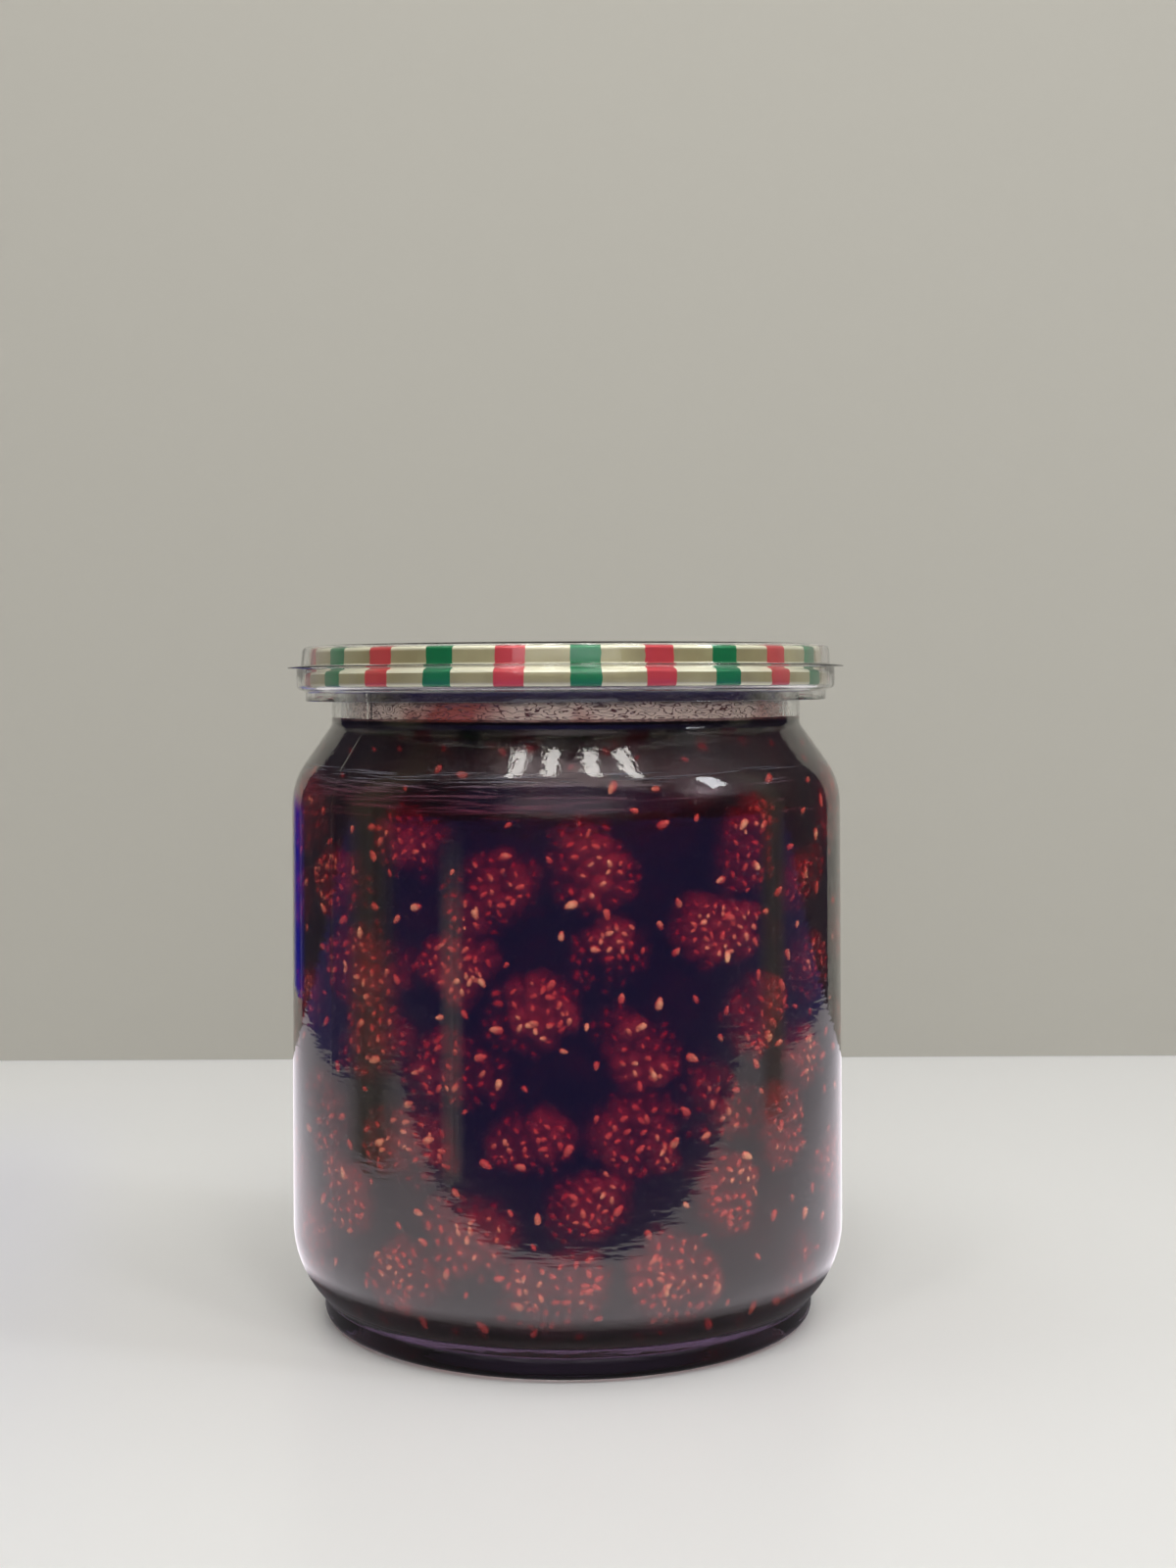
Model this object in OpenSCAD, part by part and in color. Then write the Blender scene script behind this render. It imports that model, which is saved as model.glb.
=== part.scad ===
// A filled preserving jar with a crimped tin lid and a clear push-fit cap.
// Every piece is a solid of revolution about +Z. The origin is the middle of the
// ring that the jar stands on. Sizes are in millimetres.

/* [Jar body] */
// Outside diameter of the body
body_d = 89.5; // [86:0.5:120]
// Height of the glass, from the table to the sealing rim
jar_h = 107; // [88:0.2:140]
// Thickness of the glass in the walls
wall = 2.3; // [1.8:0.1:3]
// Thickness of the glass in the middle of the floor
floor_t = 3.4; // [2.4:0.1:5]
// Outside diameter of the foot
foot_d = 79.4; // [66:0.2:82]
// Height of the upright side of the foot
foot_h = 3.5; // [2.5:0.1:5]
// Radius of the curve from the heel into the wall
heel_r = 15; // [8:0.5:16]
// Rise of the hollow under the floor
push_up = 2.2; // [1:0.1:3]
// Width of the ring of glass that the jar stands on
stand_w = 4.6; // [3:0.1:7]

/* [Shoulder and neck] */
// Outside diameter of the neck
neck_d = 76.6; // [63:0.2:80]
// Height of the neck, from the shoulder to the sealing rim
neck_h = 11.8; // [10:0.1:14]
// Height that the shoulder slopes over
shoulder_h = 9.2; // [8:0.1:14]
// Radius of the curve from the wall into the shoulder
shoulder_r = 12; // [6:0.5:14]
// How far the sealing bead stands out from the neck
bead_w = 2.7; // [2:0.1:3.4]
// Height of the upright side of the bead
bead_h = 3; // [2.4:0.1:3.6]
// Height of the slope under the bead
bead_slope = 2.8; // [2:0.1:3]

/* [Contents] */
// Gap between the jam and the sealing rim
headspace = 11.2; // [8:0.1:30]

/* [Tin lid] */
// Thickness of the lid with its lacquer and sealing ring
tin_t = 0.4; // [0.3:0.05:0.6]
// Gap around the bead inside the lid
lid_gap = 0.6; // [0.3:0.05:0.8]
// Gap between the wall of the sunk panel and the bore of the glass
plug_gap = 0.4; // [0.2:0.05:1]
// Depth of the sunk panel below the top rim
panel_depth = 2.6; // [1.8:0.1:3]
// Height of one embossed step on the panel
ring_rise = 0.7; // [0.5:0.1:1]
// Width of the groove at the foot of the panel's wall
groove_w = 2; // [1.6:0.1:3]
// Width of the raised ring inside the groove
land_w = 6.1; // [4:0.1:8]
// Width of the flat between the raised ring and the raised round in the middle
flat_w = 5; // [3:0.5:6]
// How far the crimped band stands out from the upper skirt
crimp_w = 0.95; // [0.8:0.05:1.4]
// Height of the crimped band
crimp_h = 3.1; // [2.8:0.1:3.6]
// Length of the edge that is turned in under the bead
crimp_turn = 1.9; // [1.4:0.1:2.2]

/* [Clear cap] */
// Thickness of the plastic
cap_t = 0.45; // [0.35:0.05:0.7]
// Gap between the cap and the tin skirt
cap_gap = 0.55; // [0.3:0.05:1]
// How far the thin brim stands out from the bulge under it
brim_w = 1.45; // [1:0.05:3]
// Height of the lip that holds under the lid
lip_h = 1.7; // [1.2:0.1:3]
// How far the lip grips in under the crimped band
lip_grip = 0.9; // [0.5:0.05:1.2]
// Lean of the upper step, in degrees
cap_lean = 5; // [1:0.5:8]

/* [Hidden] */

$fn = 96;
arc_steps = 8;

// Radii of the glass
body_r = body_d / 2;
foot_r = foot_d / 2;
neck_r = neck_d / 2;
bead_r = neck_r + bead_w;
bore_r = neck_r - wall;
inner_r = body_r - wall;

// Heights of the glass
heel_angle = 50;
heel_z = foot_h + (body_r - foot_r) * tan(heel_angle);
neck_z = jar_h - neck_h;
shoulder_z = neck_z - shoulder_h;
bead_z = jar_h - bead_h;
floor_z = push_up + floor_t;
jam_z = jar_h - headspace;

// Small roundings of the glass
foot_edge = 1.5;
stand_edge = 0.9;
neck_fillet = 1.5;
bead_edge = 1;
rim_edge = 0.8;
floor_edge = heel_r - wall;

// Tin lid: the skirt hangs round the bead, and the crimped band turns in under it
skirt_r = bead_r + lid_gap + tin_t;
lid_z = jar_h + tin_t;
plug_r = bore_r - plug_gap - tin_t;
crimp_r = skirt_r + crimp_w;
crimp_z = bead_z - bead_slope;
turn_r = crimp_r - tin_t - crimp_turn;
tin_edge = tin_t + 0.3;
ring_edge = tin_t + ring_rise * 0.3;

// Clear cap: it lies on the lid's rim and follows the skirt outside
cap_z = lid_z + cap_t;
bulge_r = crimp_r + cap_gap + cap_t;
brim_r = bulge_r + brim_w;
brim_z = crimp_z + crimp_h + cap_t;
step_r = skirt_r + cap_gap + cap_t;
step_base_r = step_r + (cap_z - brim_z) * tan(cap_lean);
lip_r = crimp_r - lip_grip + cap_t;
cap_edge = (cap_gap + lip_grip - cap_t) * 0.45;

function unit(v) = v / norm(v);
function turned(v, a) = [v.x * cos(a) - v.y * sin(a), v.x * sin(a) + v.y * cos(a)];

// One corner of an outline, rounded to radius r where the outline passes from a to c
function corner(a, b, c, r) =
    let (u = unit(a - b),
         v = unit(c - b),
         half = acos(u * v) / 2,
         centre = b + unit(u + v) * r / sin(half),
         start = b + u * r / tan(half) - centre,
         sweep = (180 - 2 * half) * sign(cross(v, u)))
    [for (i = [0:arc_steps]) centre + turned(start, sweep * i / arc_steps)];

function at(p) = [p[0], p[1]];

// An outline from corners, each given as [radius, height] or [radius, height, rounding]
function rounded(points) =
    let (last = len(points) - 1)
    [for (i = [0:last])
        each i > 0 && i < last && len(points[i]) == 3
            ? corner(at(points[i - 1]), at(points[i]), at(points[i + 1]), points[i][2])
            : [at(points[i])]];

// A sheet of thickness t that lies to the right of a path
function sheet(path, t) =
    let (last = len(path) - 1,
         way = [for (i = [0:last - 1]) unit(path[i + 1] - path[i])],
         side = [for (w = way) [w.y, -w.x]])
    concat(path, [for (i = [last:-1:0])
        let (a = side[max(i - 1, 0)], b = side[min(i, last - 1)])
        path[i] + t * (a + b) / (1 + a * b)]);

// The inside of the glass from the rim down to the middle of the floor
function cavity() = [
    [bore_r, jar_h, rim_edge],
    [bore_r, neck_z - wall / 2, neck_fillet + wall],
    [inner_r, shoulder_z - wall / 2, shoulder_r - wall],
    [inner_r, heel_z + wall / 2, floor_edge],
    [foot_r - wall, floor_z],
    [0, floor_z]];

module jar() {
    color([0.86, 0.9, 0.9, 0.35])
    rotate_extrude()
    polygon(rounded(concat(
        [[0, push_up],
         [foot_r - stand_w - push_up, push_up, stand_edge],
         [foot_r - stand_w, 0, stand_edge],
         [foot_r, 0, foot_edge],
         [foot_r, foot_h],
         [body_r, heel_z, heel_r],
         [body_r, shoulder_z, shoulder_r],
         [neck_r, neck_z, neck_fillet],
         [neck_r, bead_z - bead_slope],
         [bead_r, bead_z, bead_edge],
         [bead_r, jar_h, bead_edge]],
        cavity())));
}

// The jam fills the cavity up to its level
module jam() {
    color([0.16, 0.02, 0.09])
    intersection() {
        rotate_extrude() polygon(rounded(concat([[0, jar_h]], cavity())));
        cylinder(r = body_r, h = jam_z);
    }
}

// Pressed tin: sunk panel with embossed rings, raised rim, skirt and crimped band
module tin_lid() {
    panel_z = lid_z - panel_depth;
    groove_r = plug_r - groove_w;
    land_r = groove_r - ring_rise;
    flat_r = land_r - land_w - ring_rise;
    round_r = flat_r - flat_w - ring_rise;
    color([0.72, 0.68, 0.5])
    rotate_extrude()
    polygon(sheet(rounded([
        [0, panel_z + ring_rise],
        [round_r, panel_z + ring_rise, ring_edge],
        [round_r + ring_rise, panel_z, ring_edge],
        [flat_r, panel_z, ring_edge],
        [flat_r + ring_rise, panel_z + ring_rise, ring_edge],
        [land_r, panel_z + ring_rise, ring_edge],
        [groove_r, panel_z, ring_edge],
        [plug_r, panel_z, tin_edge],
        [plug_r, lid_z, tin_edge],
        [skirt_r, lid_z, tin_edge],
        [skirt_r, crimp_z + crimp_h, tin_edge / 2],
        [crimp_r, crimp_z + crimp_h - crimp_w / 2, tin_edge],
        [crimp_r, crimp_z, tin_edge],
        [turn_r, crimp_z]]), tin_t));
}

// Thin clear moulding: flat top, leaning step, sharp brim, bulge and inner lip
module clear_cap() {
    color([0.92, 0.95, 0.95, 0.3])
    rotate_extrude()
    union() {
        polygon(sheet(rounded([
            [0, cap_z],
            [step_r, cap_z, cap_t + cap_edge],
            [step_base_r, brim_z],
            [bulge_r, brim_z],
            [bulge_r, crimp_z - cap_t, cap_t + cap_edge],
            [lip_r, crimp_z - cap_t, cap_edge],
            [lip_r, crimp_z - cap_t - lip_h]]), cap_t));
        polygon([
            [bulge_r - cap_t / 2, brim_z],
            [brim_r, brim_z - cap_t / 2],
            [brim_r, brim_z - cap_t],
            [bulge_r - cap_t / 2, brim_z - cap_t]]);
    }
}

jar();
jam();
tin_lid();
clear_cap();
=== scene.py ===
from math import acos, cos, pi, radians, sin, tan

import bmesh
import bpy
import numpy as np
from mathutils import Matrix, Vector, noise


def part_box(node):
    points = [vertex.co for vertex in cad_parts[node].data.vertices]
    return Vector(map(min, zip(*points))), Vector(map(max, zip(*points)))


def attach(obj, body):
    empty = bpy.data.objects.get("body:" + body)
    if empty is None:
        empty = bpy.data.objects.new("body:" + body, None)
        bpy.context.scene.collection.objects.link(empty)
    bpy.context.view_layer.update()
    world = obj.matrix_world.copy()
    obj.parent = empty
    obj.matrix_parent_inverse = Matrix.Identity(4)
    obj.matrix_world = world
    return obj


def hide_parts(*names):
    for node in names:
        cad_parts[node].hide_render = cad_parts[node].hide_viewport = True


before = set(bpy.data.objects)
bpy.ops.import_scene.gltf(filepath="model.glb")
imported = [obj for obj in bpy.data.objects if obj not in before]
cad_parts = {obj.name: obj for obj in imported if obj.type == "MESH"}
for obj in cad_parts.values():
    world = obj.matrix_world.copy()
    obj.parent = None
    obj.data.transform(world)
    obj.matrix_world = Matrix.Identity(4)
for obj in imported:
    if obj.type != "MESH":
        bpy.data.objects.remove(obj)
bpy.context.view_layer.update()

# ---------------------------------------------------------------------------------
# The jar: clear soda-lime glass, pressed and blown in a two-part mould, with a
# stacking foot, a hollow under its floor, and a bead that the tin lid is crimped on.
# Its skin keeps the fine orange peel of the mould, coarser on the shoulder.
# ---------------------------------------------------------------------------------
MM = 0.001
TURNS = 192
MOULD_SEAM = radians(-52.9)
# The foot's glass tint is painted shade, for the shadow under the jar.
FOOT_SHADE_TINT = (0.22, 0.13, 0.28, 1)
STAND_H = 0.7

BODY_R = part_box("jar")[1].x / MM
RIM_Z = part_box("jar")[1].z / MM
WALL = 2.3
FOOT_R = 39.7
FOOT_H = 3.5
STAND_W = 4.6
PUSH_UP = 2.2
FLOOR_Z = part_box("jam")[0].z / MM
NECK_R = 38.3
NECK_H = 11.8
SHOULDER_H = 9.2
SHOULDER_R = 12
HEEL_R = 15
HEEL_SLOPE = tan(radians(50))
BEAD_W = 2.7
BEAD_H = 3
BEAD_SLOPE = 2.8

BORE_R = NECK_R - WALL
INNER_R = BODY_R - WALL
BEAD_R = NECK_R + BEAD_W
NECK_Z = RIM_Z - NECK_H
SHOULDER_Z = NECK_Z - SHOULDER_H
HEEL_Z = FOOT_H + (BODY_R - FOOT_R) * HEEL_SLOPE
BEAD_Z = RIM_Z - BEAD_H


def rounded(corners, steps=10):
    """An outline through corners (radius, height, rounding), each rounding an arc."""
    points = [Vector(corners[0][:2])]
    for before, here, after in zip(corners, corners[1:], corners[2:]):
        b = Vector(here[:2])
        if len(here) < 3:
            points.append(b)
            continue
        u = (Vector(before[:2]) - b).normalized()
        v = (Vector(after[:2]) - b).normalized()
        half = acos(u.dot(v)) / 2
        centre = b + (u + v).normalized() * here[2] / sin(half)
        start = b + u * here[2] / tan(half) - centre
        sweep = (pi - 2 * half) * (1 if v.cross(u) > 0 else -1)
        for i in range(steps + 1):
            a = sweep * i / steps
            x = start.x * cos(a) - start.y * sin(a)
            y = start.x * sin(a) + start.y * cos(a)
            points.append(centre + Vector((x, y)))
    return points + [Vector(corners[-1][:2])]


def divided(points, longest):
    """The same outline with no stretch longer than the given length."""
    out = [points[0]]
    for a, b in zip(points, points[1:]):
        parts = max(1, round((b - a).length / longest))
        out += [a.lerp(b, (i + 1) / parts) for i in range(parts)]
    return out


def add_piece(name, mesh, material, slot, *nodes):
    """A finished piece of the object: smooth, in its place, and tied to the frame."""
    piece = bpy.data.objects.new(name, mesh)
    bpy.context.scene.collection.objects.link(piece)
    mesh.shade_smooth()
    if material:
        mesh.materials.clear()
        mesh.materials.append(material)
    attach(piece, "root")
    if nodes:
        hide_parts(*nodes)
    return piece


def revolved(name, outline, turns=TURNS, relief=None):
    """A closed mesh of revolution. relief(point) may move each point, in millimetres."""
    bm = bmesh.new()
    rings = []
    for p in outline:
        if p.x < 1e-6:
            rings.append([bm.verts.new((0, 0, p.y))] * turns)
        else:
            angles = [2 * pi * i / turns for i in range(turns)]
            rings.append([bm.verts.new((p.x * sin(a), -p.x * cos(a), p.y)) for a in angles])
    if rings[0][0] is not rings[0][1]:
        rings.append(rings[0])
    for low, high in zip(rings, rings[1:]):
        for i in range(turns):
            j = (i + 1) % turns
            corners = dict.fromkeys((low[i], low[j], high[j], high[i]))
            bm.faces.new(corners)
    if relief:
        for v in bm.verts:
            v.co = relief(v.co)
    for v in bm.verts:
        v.co *= MM
    bmesh.ops.recalc_face_normals(bm, faces=bm.faces)
    mesh = bpy.data.meshes.new(name)
    bm.to_mesh(mesh)
    bm.free()
    return mesh


def shader(tree, kind, values=None, **settings):
    """A new node, with its settings and with values or links given by input name."""
    node = tree.nodes.new(kind)
    for key, value in settings.items():
        setattr(node, key, value)
    for key, value in (values or {}).items():
        if isinstance(value, bpy.types.NodeSocket):
            tree.links.new(value, node.inputs[key])
        else:
            node.inputs[key].default_value = value
    return node


def finish_of(name, surface, volume=None):
    """A material whose surface, and volume if any, are built by the functions given."""
    material = bpy.data.materials.new(name)
    material.use_nodes = True
    tree = material.node_tree
    tree.nodes.clear()
    out = shader(tree, "ShaderNodeOutputMaterial", {"Surface": surface(tree)})
    if volume:
        tree.links.new(volume(tree), out.inputs["Volume"])
    return material


def lets_light_in(tree, clear, tint):
    """Clear pieces pass the lamps' light straight through, so the contents are lit."""
    path = shader(tree, "ShaderNodeLightPath")
    passing = shader(tree, "ShaderNodeBsdfTransparent", {"Color": tint})
    return shader(tree, "ShaderNodeMixShader", {
        "Fac": path.outputs["Is Shadow Ray"], 1: clear, 2: passing.outputs["BSDF"]}).outputs[0]


def new_group(name, inputs, outputs):
    """An empty shader node group with named float inputs and named outputs."""
    group = bpy.data.node_groups.new(name, "ShaderNodeTree")
    for label, value in inputs.items():
        kind = "NodeSocketColor" if isinstance(value, tuple) else "NodeSocketFloat"
        socket = group.interface.new_socket(label, in_out="INPUT", socket_type=kind)
        socket.default_value = value
    for label, kind in outputs.items():
        group.interface.new_socket(label, in_out="OUTPUT", socket_type=kind)
    return group, group.nodes.new("NodeGroupInput"), group.nodes.new("NodeGroupOutput")


# Ripple: the shallow waves of pressed glass and moulded plastic, as a height.
# Stretch is how much longer the waves are round the piece than up it.
ripple, given, result = new_group(
    "ripple", {"Size": 0.001, "Stretch": 1.0, "Detail": 2.0}, {"Height": "NodeSocketFloat"})
where = shader(ripple, "ShaderNodeTexCoord").outputs["Object"]
xyz = shader(ripple, "ShaderNodeSeparateXYZ", {"Vector": where})
tall = shader(ripple, "ShaderNodeMath", {
    0: xyz.outputs["Z"], 1: given.outputs["Stretch"]}, operation="MULTIPLY")
moved = shader(ripple, "ShaderNodeCombineXYZ", {
    "X": xyz.outputs["X"], "Y": xyz.outputs["Y"], "Z": tall.outputs[0]})
often = shader(ripple, "ShaderNodeMath", {0: 1.0, 1: given.outputs["Size"]}, operation="DIVIDE")
waves = shader(ripple, "ShaderNodeTexNoise", {
    "Vector": moved.outputs[0], "Scale": often.outputs[0], "Detail": given.outputs["Detail"]})
ripple.links.new(waves.outputs["Fac"], result.inputs["Height"])


def ramp(tree, value, low, high, to_low, to_high):
    """A value that goes from to_low to to_high as another goes from low to high."""
    return shader(tree, "ShaderNodeMapRange", {
        "Value": value, "From Min": low, "From Max": high,
        "To Min": to_low, "To Max": to_high}).outputs["Result"]


def rippled(tree, size, stretch, depth, under=None, detail=2.0, strength=1.0):
    """The normal of a surface with ripples of that size and depth, in metres."""
    group = shader(tree, "ShaderNodeGroup", node_tree=ripple)
    group.inputs["Size"].default_value = size
    group.inputs["Stretch"].default_value = stretch
    group.inputs["Detail"].default_value = detail
    values = {"Height": group.outputs["Height"], "Distance": depth, "Strength": strength}
    if under:
        values["Normal"] = under
    return shader(tree, "ShaderNodeBump", values).outputs["Normal"]


def clear_glass(tree, tint=(0.985, 0.995, 0.99, 1)):
    """Clear glass with long waves, a fine skin that is coarser on the shoulder, and the
    thin raised lines that the two halves of the mould leave up its sides."""
    where = shader(tree, "ShaderNodeTexCoord").outputs["Object"]
    z = shader(tree, "ShaderNodeSeparateXYZ", {"Vector": where}).outputs["Z"]
    wavy = rippled(tree, 0.009, 0.25, 0.00005, detail=1.0)
    peel = rippled(tree, 0.0045, 5.0, 0.000022, under=wavy)
    shoulder = ramp(tree, z, (SHOULDER_Z - SHOULDER_R) * MM, SHOULDER_Z * MM, 0.0, 1.0)
    coarse = rippled(tree, 0.0008, 1.0, 0.00002, under=peel, strength=shoulder)
    off_seam = shader(tree, "ShaderNodeVectorMath", {
        0: where, 1: (cos(MOULD_SEAM), sin(MOULD_SEAM), 0)}, operation="DOT_PRODUCT")
    away = shader(tree, "ShaderNodeMath", {0: off_seam.outputs["Value"]}, operation="ABSOLUTE")
    raised = shader(tree, "ShaderNodeBump", {
        "Height": ramp(tree, away.outputs[0], 0.0001, 0.0004, 1.0, 0.0),
        "Distance": 0.00005, "Strength": ramp(tree, z, 0.04, 0.06, 0.15, 1.0), "Normal": coarse})
    return shader(tree, "ShaderNodeBsdfPrincipled", {
        "Base Color": tint, "Roughness": 0.0, "IOR": 1.52,
        "Transmission Weight": 1.0, "Normal": raised.outputs["Normal"]}).outputs["BSDF"]


def lit_glass(tree):
    return lets_light_in(tree, clear_glass(tree), (0.95, 0.97, 0.96, 1))


def shade_tinted_glass(tree):
    """The foot's thick glass, tinted dark violet as painted shade for the shadow under the jar that shows
    through it.
    """
    return clear_glass(tree, FOOT_SHADE_TINT)


cavity = [
    (BORE_R, RIM_Z, 0.8),
    (BORE_R, NECK_Z - WALL / 2, 1.5 + WALL),
    (INNER_R, SHOULDER_Z - WALL / 2, SHOULDER_R - WALL),
    (INNER_R, HEEL_Z + WALL / 2, HEEL_R - WALL),
    (FOOT_R - WALL, FLOOR_Z, 2),
    (0, FLOOR_Z)]
jar_outline = rounded([
    (0, PUSH_UP),
    (FOOT_R - STAND_W - PUSH_UP, PUSH_UP, 0.9),
    (FOOT_R - STAND_W, 0, 0.9),
    (FOOT_R, 0, 1.5),
    (FOOT_R, FOOT_H, 0.5),
    (BODY_R, HEEL_Z, HEEL_R),
    (BODY_R, SHOULDER_Z, SHOULDER_R),
    (NECK_R, NECK_Z, 1.5),
    (NECK_R, BEAD_Z - BEAD_SLOPE, 0.5),
    (BEAD_R, BEAD_Z, 1),
    (BEAD_R, RIM_Z, 1)] + cavity)
jar_glass = finish_of("jar_glass", lit_glass)
shade_tinted_foot_glass = finish_of("shade_tinted_foot_glass", shade_tinted_glass)
glass_jar = add_piece("glass_jar", revolved("glass_jar", divided(jar_outline, 4)), jar_glass,
                      "jar_glass", "jar")
# The foot's band of faces takes the glass tinted with painted shade.
glass_jar.data.materials.append(shade_tinted_foot_glass)
for face in glass_jar.data.polygons:
    face.material_index = int(STAND_H * MM < face.center.z < (FOOT_H + 1) * MM)

# ---------------------------------------------------------------------------------
# The scuffs: fine level scratches round the shoulder, where jars rubbed together on
# the filling line. They stand a hair proud of the glass.
# ---------------------------------------------------------------------------------
SCUFFS = 220
SCUFF_W = 0.09
SCUFF_RISE = 0.015
SCUFF_ROOT = 0.03
SCUFFED_FROM = 82.2
SCUFFED_TO = 88.6


def outside(z):
    """The radius of the jar's outer side at a height on its shoulder."""
    side = [p for p in jar_outline[:-1] if p.x > INNER_R - 3 and p.y > HEEL_Z]
    return float(np.interp(z, [p.y for p in side], [p.x for p in side]))


def scuff_lines():
    """Many thin arcs round the jar, each a narrow strip with three sides."""
    bm = bmesh.new()
    chance = np.random.default_rng(6)
    for _ in range(SCUFFS):
        z, slant = chance.uniform(SCUFFED_FROM, SCUFFED_TO), chance.uniform(-0.5, 0.5)
        start = chance.choice([chance.normal(-0.9, 0.4), chance.uniform(-pi, pi)])
        sweep = radians(chance.uniform(3, 20))
        steps = max(3, int(sweep / radians(2)))
        rings = []
        for i in range(steps + 1):
            a, t = start + sweep * i / steps, i / steps
            width = SCUFF_W * max(0.15, sin(pi * t))
            here = z + slant * t
            corners = [(SCUFF_RISE, width / 2), (SCUFF_RISE, -width / 2), (-SCUFF_ROOT, 0)]
            rings.append([bm.verts.new((
                (outside(here + dz) + dr) * MM * sin(a), -(outside(here + dz) + dr) * MM * cos(a),
                (here + dz) * MM)) for dr, dz in corners])
        for low, high in zip(rings, rings[1:]):
            for j in range(3):
                bm.faces.new((low[j], low[j - 1], high[j - 1], high[j]))
        bm.faces.new(rings[0])
        bm.faces.new(rings[-1][::-1])
    bmesh.ops.recalc_face_normals(bm, faces=bm.faces)
    mesh = bpy.data.meshes.new("shoulder_scuffs")
    bm.to_mesh(mesh)
    bm.free()
    return mesh


def scuff_surface(tree):
    return shader(tree, "ShaderNodeBsdfPrincipled", {
        "Base Color": (0.26, 0.25, 0.31, 1), "Roughness": 0.6}).outputs["BSDF"]


add_piece("shoulder_scuffs", scuff_lines(), finish_of("scuffed_glass", scuff_surface), "jar_glass")

# ---------------------------------------------------------------------------------
# The jam's syrup: a clear jelly, violet-red and very dark in depth. It wets the
# glass all over, so it reaches just into the wall, and it creeps up at its edge.
# ---------------------------------------------------------------------------------
JAM_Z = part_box("jam")[1].z / MM
INTO_WALL = 0.12
CREEP = 0.6


def inside(depth, top, bottom_gap=0.0):
    """The cavity's outline, that far in from the glass, from the floor up to top."""
    line = divided(rounded(cavity, 14), 2)[::-1]
    kept = [p for p in line if p.y <= top and p.x > 1e-6]
    out = []
    for i, p in enumerate(kept):
        way = (kept[min(i + 1, len(kept) - 1)] - kept[max(i - 1, 0)]).normalized()
        q = Vector((p.x - way.y * depth, p.y + way.x * depth))
        if q.x > 0.5:
            out.append(Vector((q.x, max(q.y, FLOOR_Z + bottom_gap))))
    return [Vector((0, out[0].y))] + out


def syrup_surface(tree):
    soft = rippled(tree, 0.004, 1.0, 0.0001)
    jelly = shader(tree, "ShaderNodeBsdfPrincipled", {
        "Base Color": (1, 0.9, 0.92, 1), "Roughness": 0.33, "IOR": 1.42,
        "Specular Tint": (0, 0, 0, 1),
        "Transmission Weight": 1.0, "Normal": soft})
    return lets_light_in(tree, jelly.outputs["BSDF"], (1, 1, 1, 1))


def syrup_depth(tree):
    return shader(tree, "ShaderNodeVolumeAbsorption", {
        "Color": (0.84, 0.11, 0.28, 1), "Density": 600}).outputs["Volume"]


syrup_edge = inside(-INTO_WALL, JAM_Z)
syrup_edge += [
    Vector((BORE_R + INTO_WALL, JAM_Z + CREEP)),
    Vector((BORE_R - 0.3, JAM_Z + CREEP * 0.5)),
    Vector((BORE_R - 1.6, JAM_Z)),
    Vector((0, JAM_Z))]
syrup = finish_of("syrup", syrup_surface, syrup_depth)
add_piece("jam_syrup", revolved("jam_syrup", divided(syrup_edge, 4)), syrup,
          "berry_jam", "jam")

# ---------------------------------------------------------------------------------
# The pulp: the crushed fruit that fills the middle of the jam, too dense for light
# to pass. Its face is uneven, and the whole berries are half sunk in it.
# ---------------------------------------------------------------------------------
PULP_DEPTH = 7.0

# Mottle: one colour that drifts into another in soft patches, as in cooked fruit.
mottle, given, result = new_group(
    "mottle", {"Size": 0.004, "Dark": (0.0, 0.0, 0.0, 1.0), "Light": (1.0, 1.0, 1.0, 1.0),
               "From": 0.35, "To": 0.65}, {"Color": "NodeSocketColor"})
where = shader(mottle, "ShaderNodeTexCoord").outputs["Object"]
often = shader(mottle, "ShaderNodeMath", {0: 1.0, 1: given.outputs["Size"]}, operation="DIVIDE")
patches = shader(mottle, "ShaderNodeTexNoise", {
    "Vector": where, "Scale": often.outputs[0], "Detail": 3.0})
share = shader(mottle, "ShaderNodeMapRange", {
    "Value": patches.outputs["Fac"], "From Min": given.outputs["From"],
    "From Max": given.outputs["To"]})
blend = shader(mottle, "ShaderNodeMix", data_type="RGBA")
mottle.links.new(share.outputs["Result"], blend.inputs["Factor"])
mottle.links.new(given.outputs["Dark"], blend.inputs[6])
mottle.links.new(given.outputs["Light"], blend.inputs[7])
mottle.links.new(blend.outputs[2], result.inputs["Color"])


def mottled(tree, size, dark, light, low=0.35, high=0.65):
    group = shader(tree, "ShaderNodeGroup", node_tree=mottle)
    for key, value in (("Size", size), ("Dark", dark), ("Light", light), ("From", low), ("To", high)):
        group.inputs[key].default_value = value
    return group.outputs["Color"]


# Sunk: painted shade, a colour that darkens the deeper it lies behind the glass, for the light that fades
# into the jam.
sunk, given, result = new_group(
    "sunk", {"Color": (1.0, 1.0, 1.0, 1.0), "Deep": (0.0, 0.0, 0.0, 1.0), "Clear To": 0.041,
             "Dark From": 0.034}, {"Color": "NodeSocketColor"})
where = shader(sunk, "ShaderNodeTexCoord").outputs["Object"]
across = shader(sunk, "ShaderNodeVectorMath", {0: where, 1: (1, 1, 0)}, operation="MULTIPLY")
reach = shader(sunk, "ShaderNodeVectorMath", {0: across.outputs[0]}, operation="LENGTH")
nearness = shader(sunk, "ShaderNodeMapRange", {
    "Value": reach.outputs["Value"], "From Min": given.outputs["Dark From"],
    "From Max": given.outputs["Clear To"]}, interpolation_type="SMOOTHSTEP")
fade = shader(sunk, "ShaderNodeMix", data_type="RGBA")
sunk.links.new(nearness.outputs["Result"], fade.inputs["Factor"])
sunk.links.new(given.outputs["Deep"], fade.inputs[6])
sunk.links.new(given.outputs["Color"], fade.inputs[7])
sunk.links.new(fade.outputs[2], result.inputs["Color"])


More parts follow.
